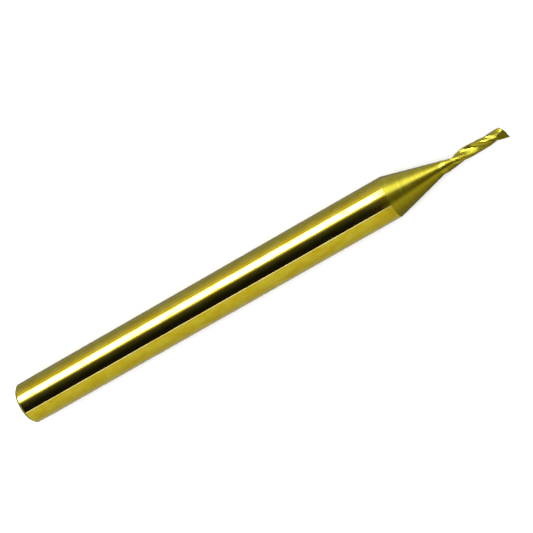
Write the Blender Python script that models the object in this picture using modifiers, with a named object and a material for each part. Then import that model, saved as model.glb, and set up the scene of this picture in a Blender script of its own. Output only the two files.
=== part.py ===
"""Micro end mill: a ground steel shank with a conical nose, a brazed-in carbide pin with one
right-hand helical flute, and the thin braze layer between them.

Frame: metres. The tool lies along +X, from the centre of the shank's rear face (the origin) to the
cutting corner. +Z is up. Looking along the tool from its rear, it turns clockwise when it cuts.
"""

import math

import bmesh
import bpy
from mathutils import Vector

MM = 0.001

# Driving dimensions, in millimetres. Axial places count from the shank's rear face.
OVERALL_LENGTH = 40.6
SHANK_RADIUS = 3.175 / 2
REAR_CHAMFER = 0.2
NOSE_START = 31.3
NOSE_SLOPE = math.tan(math.radians(15))
PIN_RADIUS = 1.0 / 2
TANG_LENGTH = 5.2
TANG_CHAMFER = 0.12

# The brazed joint: a thin layer between tang and socket, with a fillet outside the mouth.
BRAZE_GAP = 0.04
MESH_CLEARANCE = 0.006
NOSE_LIP = 0.02
FILLET_LENGTH = 0.2
SOCKET_END_SPACE = 0.15
HALF_DRILL_POINT = math.radians(59)

# The fluted length's cross-section, as (degrees past the cutting edge, radius), joined by a smooth
# curve. Degrees count in the direction that the tool turns.
CROSS_SECTION = [
    (0, PIN_RADIUS),
    # Rake face and the rounded corner at its foot.
    (4, 0.36),
    (11, 0.255),
    (26, 0.21),
    # Flute floor, up to the rounded heel.
    (62, 0.205),
    (90, 0.275),
    (102, 0.33),
    (114, 0.355),
    # Back, ground away for chip clearance.
    (140, 0.365),
    (170, 0.365),
    # Step up to the land, then the narrow round margin behind the cutting edge.
    (240, 0.365),
    (256, 0.43),
    (274, 0.475),
    (305, 0.457),
    (322, 0.46),
    (343, 0.495),
    (360, PIN_RADIUS),
]
# The land widens towards the corner: its step moves back by this many degrees along the flute.
LAND_STEP = range(200, 280)
LAND_GROWTH = 36
# The back's grinding starts further along than the flute's, and leaves a plain neck. The change from
# the one to the other lies between these degrees past the edge.
NECK_LENGTH = 0.45
FLUTE_SIDE = 105
BACK_SIDE = 130
LEAD = 6.9
EDGE_AT_CORNER = 165

# The end: a slanted face across the diameter, and a relief face behind the cutting corner.
END_SLANT = math.radians(22)
END_RELIEF_NORMAL = Vector((0.317, -0.17, 0.945))
END_CUTTER_SIZE = 4.0

# Mesh fineness.
TURNED_SEGMENTS = 64
RING_SPACING = 0.1
POINTS_PER_SPAN = 3

SOCKET_RADIUS = PIN_RADIUS + BRAZE_GAP
NOSE_TIP_RADIUS = SOCKET_RADIUS + NOSE_LIP
NOSE_END = NOSE_START + (SHANK_RADIUS - NOSE_TIP_RADIUS) / NOSE_SLOPE
TANG_START = NOSE_END - TANG_LENGTH
SOCKET_FLOOR = TANG_START - SOCKET_END_SPACE
CORNER = Vector((
    OVERALL_LENGTH,
    PIN_RADIUS * math.cos(math.radians(EDGE_AT_CORNER)),
    PIN_RADIUS * math.sin(math.radians(EDGE_AT_CORNER)),
))


def clear_scene():
    for obj in list(bpy.data.objects):
        bpy.data.objects.remove(obj, do_unlink=True)


def new_collection(name):
    collection = bpy.data.collections.new(name)
    bpy.context.scene.collection.children.link(collection)
    return collection


def metal(name, color, roughness):
    material = bpy.data.materials.new(name)
    material.use_nodes = True
    shader = material.node_tree.nodes["Principled BSDF"]
    shader.inputs["Base Color"].default_value = (*color, 1)
    shader.inputs["Metallic"].default_value = 1
    shader.inputs["Roughness"].default_value = roughness
    return material


def apply_modifiers(obj):
    """Replaces the object's mesh by its evaluated one, shaded smooth between its sharp edges."""
    bpy.context.view_layer.update()
    evaluated = obj.evaluated_get(bpy.context.evaluated_depsgraph_get())
    obj.data = bpy.data.meshes.new_from_object(evaluated)
    obj.modifiers.clear()
    obj.data.shade_smooth()
    obj.data.set_sharp_from_angle(angle=math.radians(30))


def turned(name, outline, closed, collection, material):
    """Turns an outline of (radius, axial place) points round the tool's axis.

    The outline runs down its outer side, from the cutting end to the rear.
    """
    points = [(radius * MM, 0, place * MM) for radius, place in outline]
    edges = [(i, i + 1) for i in range(len(points) - 1)]
    if closed:
        edges.append((len(points) - 1, 0))
    mesh = bpy.data.meshes.new(name)
    mesh.from_pydata(points, edges, [])
    mesh.materials.append(material)
    obj = bpy.data.objects.new(name, mesh)
    collection.objects.link(obj)
    screw = obj.modifiers.new("Turned", "SCREW")
    screw.steps = TURNED_SEGMENTS
    screw.render_steps = TURNED_SEGMENTS
    screw.use_merge_vertices = True
    screw.merge_threshold = 1e-7
    apply_modifiers(obj)
    obj.rotation_euler = (0, math.radians(90), 0)
    return obj


def make_shank(collection):
    """Cylinder, rear chamfer, conical nose, and a drilled blind socket for the tang."""
    outline = [
        (0, SOCKET_FLOOR - SOCKET_RADIUS / math.tan(HALF_DRILL_POINT)),
        (SOCKET_RADIUS, SOCKET_FLOOR),
        (SOCKET_RADIUS, NOSE_END),
        (NOSE_TIP_RADIUS, NOSE_END),
        (SHANK_RADIUS, NOSE_START),
        (SHANK_RADIUS, REAR_CHAMFER),
        (SHANK_RADIUS - REAR_CHAMFER, 0),
        (0, 0),
    ]
    return turned("shank", outline, False, collection, metal("coated_steel", (0.80, 0.66, 0.10), 0.14))


def make_braze(collection):
    """Sleeve of filler round the tang, with a fillet that carries the nose's cone to the pin."""
    inner = PIN_RADIUS + MESH_CLEARANCE
    outer = SOCKET_RADIUS - MESH_CLEARANCE
    rear = TANG_START + TANG_CHAMFER
    mouth = NOSE_END + MESH_CLEARANCE
    outline = [
        (inner, NOSE_END + FILLET_LENGTH),
        (NOSE_TIP_RADIUS - MESH_CLEARANCE, mouth),
        (outer, mouth),
        (outer, rear),
        (inner, rear),
    ]
    return turned("braze_joint", outline, True, collection, metal("braze", (0.82, 0.72, 0.34), 0.3))


def polar(degrees, radius):
    angle = math.radians(degrees)
    return Vector((radius * math.cos(angle), radius * math.sin(angle)))


def cross_section(place):
    """The outline at an axial place as (angle, radius): a Catmull-Rom curve through CROSS_SECTION,
    with its one corner at the cutting edge."""
    growth = LAND_GROWTH * (max(place, NOSE_END) - NOSE_END) / (OVERALL_LENGTH - NOSE_END)
    points = []
    for degrees, radius in CROSS_SECTION:
        points.append(polar(degrees - growth if degrees in LAND_STEP else degrees, radius))
    points = [2 * points[0] - points[1], *points, 2 * points[-1] - points[-2]]
    outline = []
    for before, start, end, after in zip(points, points[1:], points[2:], points[3:]):
        for step in range(POINTS_PER_SPAN):
            t = step / POINTS_PER_SPAN
            bend = 2 * before - 5 * start + 4 * end - after
            twist = 3 * start - before - 3 * end + after
            point = (2 * start + t * (end - before) + t**2 * bend + t**3 * twist) / 2
            outline.append((math.atan2(point.y, point.x), point.length))
    return outline


def edge_angle(place):
    """Where the cutting edge is round the axis, in degrees from +Y towards +Z."""
    return EDGE_AT_CORNER - 360 * (OVERALL_LENGTH - max(place, NOSE_END)) / LEAD


def run_out(past_edge, place):
    """The radius that the grinding leaves at a place: the nose's cone, or the neck on the back."""
    side = (math.degrees(past_edge) % 360 - FLUTE_SIDE) / (BACK_SIDE - FLUTE_SIDE)
    return NOSE_TIP_RADIUS - (place - NOSE_END - NECK_LENGTH * min(1, max(0, side))) * NOSE_SLOPE


def pin_ring(place):
    """The pin's outline at an axial place: plain in the socket, then the neck runs out into the
    fluted section."""
    tang = PIN_RADIUS - max(0, TANG_CHAMFER - (place - TANG_START))
    ring = []
    for past_edge, radius in cross_section(place):
        angle = past_edge + math.radians(edge_angle(place))
        reach = tang if place <= NOSE_END else min(PIN_RADIUS, max(radius, run_out(past_edge, place)))
        ring.append(Vector((place, reach * math.cos(angle), reach * math.sin(angle))) * MM)
    return ring


def end_cutter(name, normal, collection):
    """A cube whose lower face passes through the cutting corner, square to normal."""
    bpy.ops.mesh.primitive_cube_add(size=END_CUTTER_SIZE * MM)
    cutter = bpy.context.active_object
    cutter.name = name
    cutter.rotation_euler = normal.to_track_quat("Z", "Y").to_euler()
    cutter.location = (CORNER + normal.normalized() * END_CUTTER_SIZE / 2) * MM
    cutter.hide_render = True
    cutter.display_type = "WIRE"
    for holder in list(cutter.users_collection):
        holder.objects.unlink(cutter)
    collection.objects.link(cutter)
    return cutter


def make_carbide_cutter(collection, cutters):
    """Loft along the pin from its tang to just past the corner, then cut by the two end faces."""
    fluted_length = OVERALL_LENGTH + PIN_RADIUS - NOSE_END
    steps = round(fluted_length / RING_SPACING)
    places = [TANG_START, TANG_START + TANG_CHAMFER, NOSE_END]
    places += [NOSE_END + fluted_length * (i + 1) / steps for i in range(steps)]
    shape = bmesh.new()
    rings = [[shape.verts.new(point) for point in pin_ring(place)] for place in places]
    for rear, front in zip(rings, rings[1:]):
        for i in range(len(rear)):
            shape.faces.new((rear[i - 1], rear[i], front[i], front[i - 1]))
    shape.faces.new(rings[0])
    shape.faces.new(rings[-1])
    bmesh.ops.recalc_face_normals(shape, faces=shape.faces)
    mesh = bpy.data.meshes.new("carbide_cutter")
    shape.to_mesh(mesh)
    shape.free()
    mesh.materials.append(metal("coated_carbide", (0.84, 0.70, 0.10), 0.12))
    obj = bpy.data.objects.new("carbide_cutter", mesh)
    collection.objects.link(obj)
    slant_normal = Vector((math.cos(END_SLANT), math.sin(END_SLANT), 0))
    for name, normal in (("end_face", slant_normal), ("end_relief", END_RELIEF_NORMAL)):
        cut = obj.modifiers.new(name, "BOOLEAN")
        cut.operation = "DIFFERENCE"
        cut.object = end_cutter(name + "_cutter", normal, cutters)
    apply_modifiers(obj)
    return obj


def main():
    clear_scene()
    parts = new_collection("end_mill")
    cutters = new_collection("end_mill_cutters")
    make_shank(parts)
    make_braze(parts)
    make_carbide_cutter(parts, cutters)


main()
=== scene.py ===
"""Looks of the micro end mill: a gold-coated ground shank, its satin cone and the spiral cutting head.

Everything is in metres in the CAD's frame: the tool lies along +X and +Z is up. Sizes inside the
shape functions are in millimetres and are scaled by MM.
"""

import math

import bmesh
import bpy
from mathutils import Matrix, Vector


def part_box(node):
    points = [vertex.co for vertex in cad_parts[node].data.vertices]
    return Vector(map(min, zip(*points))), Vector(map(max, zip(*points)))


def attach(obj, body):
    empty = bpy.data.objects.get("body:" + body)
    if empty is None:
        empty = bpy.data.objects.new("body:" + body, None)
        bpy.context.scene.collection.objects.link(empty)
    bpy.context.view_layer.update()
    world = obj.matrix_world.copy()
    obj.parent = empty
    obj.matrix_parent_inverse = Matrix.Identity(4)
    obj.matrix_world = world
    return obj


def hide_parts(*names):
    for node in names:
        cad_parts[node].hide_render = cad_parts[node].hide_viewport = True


MM = 0.001

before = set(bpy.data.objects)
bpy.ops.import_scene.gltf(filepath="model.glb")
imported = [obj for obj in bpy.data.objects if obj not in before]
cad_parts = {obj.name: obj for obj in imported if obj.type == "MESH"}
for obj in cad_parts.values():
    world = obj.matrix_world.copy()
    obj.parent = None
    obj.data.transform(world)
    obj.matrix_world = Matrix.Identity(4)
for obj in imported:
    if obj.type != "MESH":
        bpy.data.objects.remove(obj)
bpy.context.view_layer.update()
SHANK_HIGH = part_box("shank")[1] / MM
BRAZE_LOW, BRAZE_HIGH = (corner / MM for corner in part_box("braze_joint"))
PIN_LOW, PIN_HIGH = (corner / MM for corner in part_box("carbide_cutter"))

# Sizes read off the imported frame.
OVERALL_LENGTH = PIN_HIGH.x
SHANK_RADIUS = SHANK_HIGH.y
NOSE_END = SHANK_HIGH.x
PIN_RADIUS = PIN_HIGH.y
TANG_START = PIN_LOW.x

# The rest of the design, as in the CAD.
REAR_CHAMFER = 0.2
NOSE_START = 31.3
NOSE_SLOPE = math.tan(math.radians(15))
TANG_CHAMFER = 0.12
BRAZE_GAP = 0.04
NOSE_LIP = 0.02
SOCKET_END_SPACE = 0.15
SOCKET_RADIUS = PIN_RADIUS + BRAZE_GAP
SOCKET_FLOOR = TANG_START - SOCKET_END_SPACE
NOSE_TIP_RADIUS = SOCKET_RADIUS + NOSE_LIP
MESH_CLEARANCE = 0.006
HALF_DRILL_POINT = math.radians(59)

# The fluted length's cross-section, as (degrees past the cutting edge, radius), joined by a smooth
# curve. Degrees count in the direction that the tool turns.
CROSS_SECTION = [
    (0, PIN_RADIUS),
    # Rake face and the rounded corner at its foot.
    (4, 0.36),
    (11, 0.255),
    (26, 0.21),
    # Flute floor, up to the rounded heel.
    (62, 0.205),
    (90, 0.275),
    (102, 0.33),
    (114, 0.355),
    # Back, ground away for chip clearance.
    (140, 0.365),
    (170, 0.365),
    # Step up to the land, then the narrow round margin behind the cutting edge.
    (240, 0.365),
    (256, 0.43),
    (274, 0.475),
    (305, 0.457),
    (322, 0.46),
    (343, 0.495),
    (360, PIN_RADIUS),
]
# The land widens towards the corner: its step moves back by this many degrees along the flute.
LAND_STEP = range(200, 280)
LAND_GROWTH = 36
# The back's grinding starts further along than the flute's, and leaves a plain neck. The change from
# the one to the other lies between these degrees past the edge.
NECK_LENGTH = 0.45
FLUTE_SIDE = 105
BACK_SIDE = 130
LEAD = 6.9
EDGE_AT_CORNER = 165

# The end: a slanted face across the diameter, and a relief face behind the cutting corner.
END_SLANT = math.radians(22)
END_RELIEF_NORMAL = Vector((0.317, -0.17, 0.945)).normalized()
CORNER = Vector((
    OVERALL_LENGTH,
    PIN_RADIUS * math.cos(math.radians(EDGE_AT_CORNER)),
    PIN_RADIUS * math.sin(math.radians(EDGE_AT_CORNER)),
))

# Softened edges of the shank, and the braze fillet's hollow, which is a power curve.
FACE_EDGE_ROUND = 0.03
REAR_EDGE_ROUND = 0.05
SHOULDER_ROUND = 0.06
FILLET_POWER = 1.3

# Mesh fineness, and the points of the section that lie on the matte ground flute, whose darker colour is
# painted shade.
TURNED_SEGMENTS = 240
ROUND_STEPS = 5
FILLET_STEPS = 8
SHARP_ANGLE = math.radians(12)
CUT_TOLERANCE = 1e-9
RING_SPACING = 0.02
POINTS_PER_SPAN = 9
FLOOR_POINTS = range(3 * POINTS_PER_SPAN + 1, 8 * POINTS_PER_SPAN + 1)

# Camera: nearly straight above, leaning towards the cutting end, with a long lens.
CAMERA_DISTANCE = 0.1419
CAMERA_LEAN = math.radians(14.5)
CAMERA_ROLL = math.radians(29.68)
CAMERA_AIM = Vector((21.04, 0.066, 0)) * MM
CAMERA_LENS = 135.08
SENSOR_WIDTH = 36
CLIP_START = 0.001
CLIP_END = 20

# The studio, in metres and watts.
FLOOR_SIZE = 6
FLOOR_COLOR = (0.9, 0.9, 0.9, 1)
SOFTBOX_SIZE = 1.2
SOFTBOX_HEIGHT = 0.9
SOFTBOX_POWER = 18
WORLD_COLOR = (1, 1, 1, 1)
WORLD_STRENGTH = 0.27

# The tent: its radius, the axial places where its three lengths start and end, and the step of its
# arcs, in degrees.
TENT_RADIUS = 0.3
TENT_REAR = -0.5
SHANK_TENT_REAR = -0.175
NOSE_TENT_REAR = -0.018
TENT_FRONT = 0.5
PANEL_STEP = 3


# ---------------------------------------------------------------- materials

class Nodes:
    """Short calls for adding and wiring one material's nodes."""

    def __init__(self, name):
        self.material = bpy.data.materials.new(name)
        self.material.use_nodes = True
        self.tree = self.material.node_tree
        self.shader = self.tree.nodes["Principled BSDF"]

    def add(self, kind, inputs=(), **settings):
        node = self.tree.nodes.new(kind)
        for key, value in settings.items():
            setattr(node, key, value)
        for key, value in dict(inputs).items():
            self.feed(node.inputs[key], value)
        return node

    def feed(self, socket, value):
        if isinstance(value, bpy.types.NodeSocket):
            self.tree.links.new(value, socket)
        else:
            socket.default_value = value

    def noise(self, vector, scale, detail=3.0, roughness=0.5):
        inputs = {"Vector": vector, "Scale": scale, "Detail": detail, "Roughness": roughness}
        return self.add("ShaderNodeTexNoise", inputs).outputs["Fac"]

    def stretched(self, scale):
        place = self.add("ShaderNodeTexCoord").outputs["Object"]
        return self.add("ShaderNodeMapping", {"Vector": place, "Scale": scale}).outputs[0]

    def span(self, value, low, high, new_low, new_high):
        inputs = {"Value": value, "From Min": low, "From Max": high, "To Min": new_low, "To Max": new_high}
        return self.add("ShaderNodeMapRange", inputs).outputs[0]

    def mix_value(self, factor, first, second):
        node = self.add("ShaderNodeMix", {0: factor, 2: first, 3: second}, data_type="FLOAT")
        return node.outputs[0]

    def mix(self, factor, first, second):
        node = self.add("ShaderNodeMix", data_type="RGBA")
        colors = [s for s in node.inputs if s.type == "RGBA"]
        self.feed(node.inputs["Factor"], factor)
        self.feed(colors[0], first)
        self.feed(colors[1], second)
        return next(s for s in node.outputs if s.type == "RGBA")


# Each coating colour is a pair, mixed in clouds.
BRIGHT_GOLD = [(0.74, 0.54, 0.012), (0.86, 0.72, 0.052)]
DEEP_GOLD = [(0.70, 0.56, 0.016), (0.84, 0.70, 0.028)]
# The flute's pair is darker than the coating: painted shade for the flute's groove, which also dims its
# highlights.
SHADED_FLUTE_GOLD = [(0.54, 0.43, 0.013), (0.67, 0.55, 0.022)]

# The grain, as features per metre along the tool and across it, and the depth of its bumps.
CLOUD_SCALE = (900, 1500, 1500)
RING_SCALE = (9000, 500, 500)
FINE_RING_SCALE = (60000, 2500, 2500)
FINE_SHARE = 0.3
BUMP_DEPTH = 2e-6


def gold(name, colors, roughness, ring_share, lines, mottle):
    """Gold nitride coating on ground metal.

    ring_share is how much of the colour's variation lies in rings round the axis, the rest being in
    clouds. lines is the depth of the grinding rings, and mottle is that of the clouds.
    """
    nodes = Nodes(name)
    shader = nodes.shader
    shader.inputs["Metallic"].default_value = 1
    clouds = nodes.span(nodes.noise(nodes.stretched(CLOUD_SCALE), 1.0, 4.0, 0.6), 0.32, 0.68, 0, 1)
    rings = nodes.span(nodes.noise(nodes.stretched(RING_SCALE), 1.0, 2.0), 0.3, 0.7, 0, 1)
    fine = nodes.noise(nodes.stretched(FINE_RING_SCALE), 1.0, 2.0)
    blend = nodes.mix_value(ring_share, clouds, rings)
    first, second = ((*color, 1) for color in colors)
    nodes.feed(shader.inputs["Base Color"], nodes.mix(blend, first, second))
    nodes.feed(shader.inputs["Roughness"], nodes.span(blend, 0, 1, *roughness))
    height = nodes.mix_value(FINE_SHARE, rings, fine)
    bump = nodes.add("ShaderNodeBump", {"Height": height, "Strength": lines, "Distance": BUMP_DEPTH})
    wave = nodes.add("ShaderNodeBump", {"Height": clouds, "Strength": mottle, "Distance": BUMP_DEPTH})
    nodes.tree.links.new(bump.outputs[0], wave.inputs["Normal"])
    nodes.feed(shader.inputs["Normal"], wave.outputs[0])
    return nodes.material


# ---------------------------------------------------------------- shapes

def new_piece(name, shape, materials, body, node):
    mesh = bpy.data.meshes.new(name)
    bmesh.ops.recalc_face_normals(shape, faces=shape.faces)
    shape.to_mesh(mesh)
    shape.free()
    for material in materials:
        mesh.materials.append(material)
    mesh.shade_smooth()
    mesh.set_sharp_from_angle(angle=SHARP_ANGLE)
    obj = bpy.data.objects.new(name, mesh)
    bpy.context.scene.collection.objects.link(obj)
    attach(obj, body)
    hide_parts(node)
    return obj


def turned(outline, closed):
    """A turned solid from (axial place, radius) points. Open outlines start and end on the axis."""
    shape = bmesh.new()
    columns = []
    for place, radius in outline:
        if radius == 0:
            columns.append([shape.verts.new((place * MM, 0, 0))] * TURNED_SEGMENTS)
            continue
        angles = [math.tau * i / TURNED_SEGMENTS for i in range(TURNED_SEGMENTS)]
        ring = [(place * MM, radius * MM * math.cos(a), radius * MM * math.sin(a)) for a in angles]
        columns.append([shape.verts.new(point) for point in ring])
    pairs = list(zip(columns, columns[1:]))
    if closed:
        pairs.append((columns[-1], columns[0]))
    for first, second in pairs:
        for i in range(TURNED_SEGMENTS):
            corners = (first[i - 1], first[i], second[i], second[i - 1])
            shape.faces.new(dict.fromkeys(corners))
    return shape


def rounded(before, corner, after, radius):
    """A small arc in place of a corner of an outline."""
    before, corner, after = Vector(before), Vector(corner), Vector(after)
    reach_in = (before - corner).normalized()
    reach_out = (after - corner).normalized()
    half = reach_in.angle(reach_out) / 2
    centre = corner + (reach_in + reach_out).normalized() * radius / math.sin(half)
    start = corner + reach_in * radius / math.tan(half) - centre
    end = corner + reach_out * radius / math.tan(half) - centre
    points = []
    for i in range(ROUND_STEPS + 1):
        spoke = start.slerp(end, i / ROUND_STEPS).normalized()
        points.append(tuple(centre + spoke * radius))
    return points


def make_shank():
    """Polished cylinder with a softened rear chamfer, the satin cone, and the hidden socket."""
    rear_inner = (0, SHANK_RADIUS - REAR_CHAMFER)
    rear_outer = (REAR_CHAMFER, SHANK_RADIUS)
    shoulder = (NOSE_START, SHANK_RADIUS)
    lip = (NOSE_END, NOSE_TIP_RADIUS)
    outline = [(0, 0)]
    outline += rounded((0, 0), rear_inner, rear_outer, FACE_EDGE_ROUND)
    outline += rounded(rear_inner, rear_outer, shoulder, REAR_EDGE_ROUND)
    outline += rounded(rear_outer, shoulder, lip, SHOULDER_ROUND)
    outline += [lip, (NOSE_END, SOCKET_RADIUS), (SOCKET_FLOOR, SOCKET_RADIUS)]
    outline += [(SOCKET_FLOOR - SOCKET_RADIUS / math.tan(HALF_DRILL_POINT), 0)]
    shape = turned(outline, False)
    materials = [
        gold("gold_polished", BRIGHT_GOLD, (0.04, 0.09), 0.1, 0.1, 0.4),
        gold("gold_satin", DEEP_GOLD, (0.18, 0.28), 0.6, 0.8, 0.3),
    ]
    for face in shape.faces:
        centre = face.calc_center_median()
        face.material_index = int(centre.x > NOSE_START * MM)
    return new_piece("ground_shank", shape, materials, "root", "shank")


def make_braze():
    """The braze sleeve, with a hollow fillet where it meets the pin."""
    inner = PIN_RADIUS + MESH_CLEARANCE
    outer = SOCKET_RADIUS - MESH_CLEARANCE
    mouth = NOSE_END + MESH_CLEARANCE
    rim = NOSE_TIP_RADIUS - MESH_CLEARANCE
    length = BRAZE_HIGH.x - mouth
    outline = [(BRAZE_LOW.x, inner), (BRAZE_LOW.x, outer), (mouth, outer)]
    for i in range(FILLET_STEPS + 1):
        along = i / FILLET_STEPS
        outline.append((mouth + length * along, inner + (rim - inner) * (1 - along) ** FILLET_POWER))
    materials = [gold("gold_fillet", DEEP_GOLD, (0.18, 0.28), 0.5, 0.5, 0.3)]
    return new_piece("braze_fillet", turned(outline, True), materials, "root", "braze_joint")


def polar(degrees, radius):
    angle = math.radians(degrees)
    return Vector((radius * math.cos(angle), radius * math.sin(angle)))


def cross_section(place):
    """The outline at an axial place as (angle, radius): a Catmull-Rom curve through CROSS_SECTION,
    with its one corner at the cutting edge."""
    growth = LAND_GROWTH * (max(place, NOSE_END) - NOSE_END) / (OVERALL_LENGTH - NOSE_END)
    points = []
    for degrees, radius in CROSS_SECTION:
        points.append(polar(degrees - growth if degrees in LAND_STEP else degrees, radius))
    points = [2 * points[0] - points[1], *points, 2 * points[-1] - points[-2]]
    outline = []
    for before, start, end, after in zip(points, points[1:], points[2:], points[3:]):
        for step in range(POINTS_PER_SPAN):
            t = step / POINTS_PER_SPAN
            bend = 2 * before - 5 * start + 4 * end - after
            twist = 3 * start - before - 3 * end + after
            point = (2 * start + t * (end - before) + t**2 * bend + t**3 * twist) / 2
            outline.append((math.atan2(point.y, point.x), point.length))
    return outline


def edge_angle(place):
    """Where the cutting edge is round the axis, in degrees from +Y towards +Z."""
    return EDGE_AT_CORNER - 360 * (OVERALL_LENGTH - max(place, NOSE_END)) / LEAD


def run_out(past_edge, place):
    """The radius that the grinding leaves at a place: the nose's cone, or the neck on the back."""
    side = (math.degrees(past_edge) % 360 - FLUTE_SIDE) / (BACK_SIDE - FLUTE_SIDE)
    return NOSE_TIP_RADIUS - (place - NOSE_END - NECK_LENGTH * min(1, max(0, side))) * NOSE_SLOPE


def pin_ring(place):
    """The pin's outline at an axial place, as (point, whether it is ground to the section)."""
    tang = PIN_RADIUS - max(0, TANG_CHAMFER - (place - TANG_START))
    ring = []
    for past_edge, radius in cross_section(place):
        angle = past_edge + math.radians(edge_angle(place))
        neck = run_out(past_edge, place)
        reach = tang if place <= NOSE_END else min(PIN_RADIUS, max(radius, neck))
        point = Vector((place, reach * math.cos(angle), reach * math.sin(angle))) * MM
        ring.append((point, radius > neck))
    return ring


def make_cutter():
    """The carbide pin: tang, neck, helical flute and land, cut off by the two end faces."""
    length = OVERALL_LENGTH + PIN_RADIUS - NOSE_END
    steps = round(length / RING_SPACING)
    places = [TANG_START, TANG_START + TANG_CHAMFER, NOSE_END]
    places += [NOSE_END + length * (i + 1) / steps for i in range(steps)]
    shape = bmesh.new()
    outlines = [pin_ring(place) for place in places]
    rings = [[shape.verts.new(point) for point, _ in outline] for outline in outlines]
    for rear, front, outline in zip(rings, rings[1:], outlines[1:]):
        for i in range(len(rear)):
            face = shape.faces.new((rear[i - 1], rear[i], front[i], front[i - 1]))
            face.material_index = int(i in FLOOR_POINTS and outline[i][1])
    shape.faces.new(rings[0])
    shape.faces.new(rings[-1])
    slant_normal = Vector((math.cos(END_SLANT), math.sin(END_SLANT), 0))
    for normal in (slant_normal, END_RELIEF_NORMAL):
        everything = shape.verts[:] + shape.edges[:] + shape.faces[:]
        cut = bmesh.ops.bisect_plane(
            shape, geom=everything, plane_co=CORNER * MM, plane_no=normal, clear_outer=True,
            dist=CUT_TOLERANCE,
        )
        edges = [g for g in cut["geom_cut"] if isinstance(g, bmesh.types.BMEdge) and g.is_boundary]
        for face in bmesh.ops.contextual_create(shape, geom=edges)["faces"]:
            face.material_index = 2
    bmesh.ops.triangulate(shape, faces=[f for f in shape.faces if len(f.verts) > 4])
    materials = [
        gold("gold_cutter", DEEP_GOLD, (0.20, 0.28), 0.3, 0.3, 0.2),
        # The flute's darker colour is painted shade in the groove; its matte look comes from its
        # roughness.
        gold("shaded_gold_flute", SHADED_FLUTE_GOLD, (0.46, 0.56), 0.3, 0.3, 0.2),
        gold("gold_end", DEEP_GOLD, (0.26, 0.34), 0.3, 0.3, 0.2),
    ]
    return new_piece("spiral_cutter", shape, materials, "root", "carbide_cutter")


# ---------------------------------------------------------------- studio

# The reflected tent, as arcs of panels: (from, to, glow at from, glow at to, tint). Degrees go from
# straight up towards +Y.
NEUTRAL = (1, 1, 1)
WARM = (1, 0.93, 1.2)
GREENISH = (1, 1.08, 1.7)
COOL = (1, 1.08, 2.8)
WHITE = (1, 1.12, 2.6)
ICY = (1, 1.06, 8)

# Over the shank: a long softbox, a thin strip light, and a dark roof between them.
SHANK_TENT = [
    (-180, -150, 0.28, 0.42, GREENISH),
    (-150, -107, 0.44, 0.48, NEUTRAL),
    (-107, -77, 0.48, 0.58, NEUTRAL),
    (-77, -54, 0.58, 0.65, NEUTRAL),
    (-54, -42, 0.65, 0.55, NEUTRAL),
    (-42, -39, 1.5, 1.5, ICY),
    (-39, -15, 0.008, 0.008, COOL),
    (-15, 0, 0.008, 0.025, COOL),
    (0, 18.5, 0.025, 0.085, COOL),
    (18.5, 28, 0.5, 0.8, WARM),
    (28, 30, 0.9, 14, WHITE),
    (30, 56, 14, 14, WHITE),
    (56, 59, 14, 0.9, WHITE),
    (59, 86, 0.85, 0.44, WARM),
    (86, 107, 0.42, 0.30, COOL),
    (107, 145, 0.29, 0.27, GREENISH),
    (145, 180, 0.24, 0.10, GREENISH),
]

# Behind the shank: the same arrangement, dimmer and softer.
REAR_TENT = [
    (-180, -107, 0.20, 0.40, NEUTRAL),
    (-107, -42, 0.45, 0.50, NEUTRAL),
    (-42, 0, 0.20, 0.10, NEUTRAL),
    (0, 60, 0.10, 0.13, NEUTRAL),
    (60, 80, 0.25, 0.50, NEUTRAL),
    (80, 110, 0.50, 0.35, NEUTRAL),
    (110, 180, 0.30, 0.12, NEUTRAL),
]

# Over the nose and the cutter everything is dimmer and has less contrast.
NOSE_TENT = [
    (-180, -150, 0.03, 0.10, GREENISH),
    (-150, -107, 0.14, 0.17, NEUTRAL),
    (-107, -47, 0.17, 0.36, NEUTRAL),
    (-47, -40, 0.36, 0.30, NEUTRAL),
    (-40, -20, 0.20, 0.07, NEUTRAL),
    (-20, 0, 0.07, 0.11, NEUTRAL),
    (0, 18, 0.11, 0.18, NEUTRAL),
    (18, 30, 0.4, 1.2, COOL),
    (30, 58, 1.3, 1.2, COOL),
    (58, 80, 0.75, 0.38, COOL),
    (80, 140, 0.36, 0.30, COOL),
    (140, 180, 0.20, 0.03, GREENISH),
]


def reflected_only(obj):
    obj.visible_camera = False
    obj.visible_diffuse = False
    obj.visible_transmission = False
    obj.visible_volume_scatter = False
    obj.visible_shadow = False


def glow_material():
    """Emission that takes its colour and brightness from each panel's "glow"."""
    material = bpy.data.materials.new("panel_glow")
    material.use_nodes = True
    tree = material.node_tree
    tree.nodes.clear()
    glow = tree.nodes.new("ShaderNodeAttribute")
    glow.attribute_name = "glow"
    emission = tree.nodes.new("ShaderNodeEmission")
    output = tree.nodes.new("ShaderNodeOutputMaterial")
    tree.links.new(glow.outputs["Color"], emission.inputs["Color"])
    tree.links.new(emission.outputs[0], output.inputs[0])
    return material


def make_tent(name, panels, rear, front, material):
    """Arcs of panels round the tool's axis from rear to front, seen only in its reflections."""
    points, glows, faces = [], [], []
    for start, end, glow_start, glow_end, tint in panels:
        steps = math.ceil((end - start) / PANEL_STEP)
        first = len(points)
        for i in range(steps + 1):
            part = i / steps
            angle = math.radians(start + (end - start) * part)
            glow = glow_start + (glow_end - glow_start) * part
            for place in (rear, front):
                points.append((place, TENT_RADIUS * math.sin(angle), TENT_RADIUS * math.cos(angle)))
                glows.extend((*(glow * share for share in tint), 1))
        for i in range(first, first + 2 * steps, 2):
            faces.append((i, i + 1, i + 3, i + 2))
    mesh = bpy.data.meshes.new(name)
    mesh.from_pydata(points, [], faces)
    mesh.attributes.new("glow", "FLOAT_COLOR", "POINT").data.foreach_set("color", glows)
    mesh.materials.append(material)
    tent = bpy.data.objects.new(name, mesh)
    bpy.context.scene.collection.objects.link(tent)
    reflected_only(tent)


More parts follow.
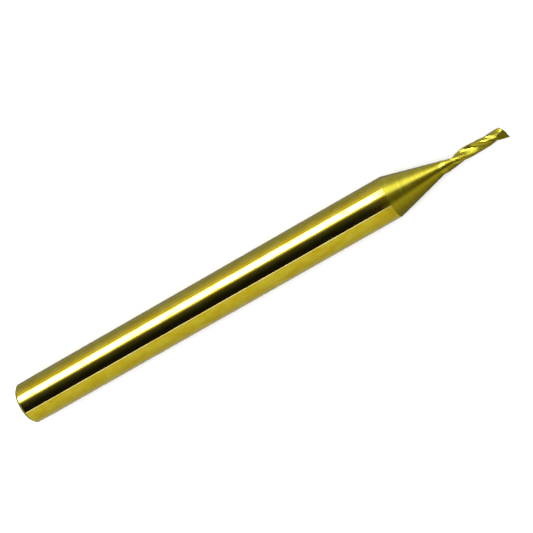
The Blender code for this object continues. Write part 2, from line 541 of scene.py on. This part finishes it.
def make_floor():
    middle = OVERALL_LENGTH * MM / 2
    bpy.ops.mesh.primitive_plane_add(size=FLOOR_SIZE, location=(middle, 0, -SHANK_RADIUS * MM))
    floor = bpy.context.active_object
    floor.name = "floor"
    material = bpy.data.materials.new("pale_floor")
    material.use_nodes = True
    shader = material.node_tree.nodes["Principled BSDF"]
    shader.inputs["Base Color"].default_value = FLOOR_COLOR
    shader.inputs["Roughness"].default_value = 1
    shader.inputs["Specular IOR Level"].default_value = 0
    floor.data.materials.append(material)
    floor.visible_glossy = False


def make_lights():
    """Soft lights for the floor. The tool's reflections come from the tent and the world."""
    data = bpy.data.lights.new("overhead_softbox", "AREA")
    data.shape = "RECTANGLE"
    data.size = SOFTBOX_SIZE
    data.size_y = SOFTBOX_SIZE
    data.energy = SOFTBOX_POWER
    light = bpy.data.objects.new("overhead_softbox", data)
    light.location = (OVERALL_LENGTH * MM / 2, 0, SOFTBOX_HEIGHT)
    light.visible_camera = False
    light.visible_glossy = False
    bpy.context.scene.collection.objects.link(light)
    world = bpy.data.worlds.new("studio")
    world.use_nodes = True
    background = world.node_tree.nodes["Background"]
    background.inputs["Color"].default_value = WORLD_COLOR
    background.inputs["Strength"].default_value = WORLD_STRENGTH
    bpy.context.scene.world = world


def make_camera():
    data = bpy.data.cameras.new("camera")
    data.lens = CAMERA_LENS
    data.sensor_width = SENSOR_WIDTH
    data.clip_start = CLIP_START
    data.clip_end = CLIP_END
    camera = bpy.data.objects.new("camera", data)
    bpy.context.scene.collection.objects.link(camera)
    towards = Vector((math.sin(CAMERA_LEAN), 0, math.cos(CAMERA_LEAN)))
    along = Vector((math.cos(CAMERA_LEAN), 0, -math.sin(CAMERA_LEAN)))
    across = Vector((0, 1, 0))
    right = along * math.cos(CAMERA_ROLL) - across * math.sin(CAMERA_ROLL)
    up = along * math.sin(CAMERA_ROLL) + across * math.cos(CAMERA_ROLL)
    turn = Matrix((right, up, towards)).transposed().to_4x4()
    camera.matrix_world = Matrix.Translation(CAMERA_AIM + towards * CAMERA_DISTANCE) @ turn
    bpy.context.scene.camera = camera


make_shank()
make_braze()
make_cutter()
panel_glow = glow_material()
make_tent("rear_tent", REAR_TENT, TENT_REAR, SHANK_TENT_REAR, panel_glow)
make_tent("shank_tent", SHANK_TENT, SHANK_TENT_REAR, NOSE_TENT_REAR, panel_glow)
make_tent("nose_tent", NOSE_TENT, NOSE_TENT_REAR, TENT_FRONT, panel_glow)
make_floor()
make_lights()
make_camera()
bpy.context.scene.view_settings.view_transform = "Standard"
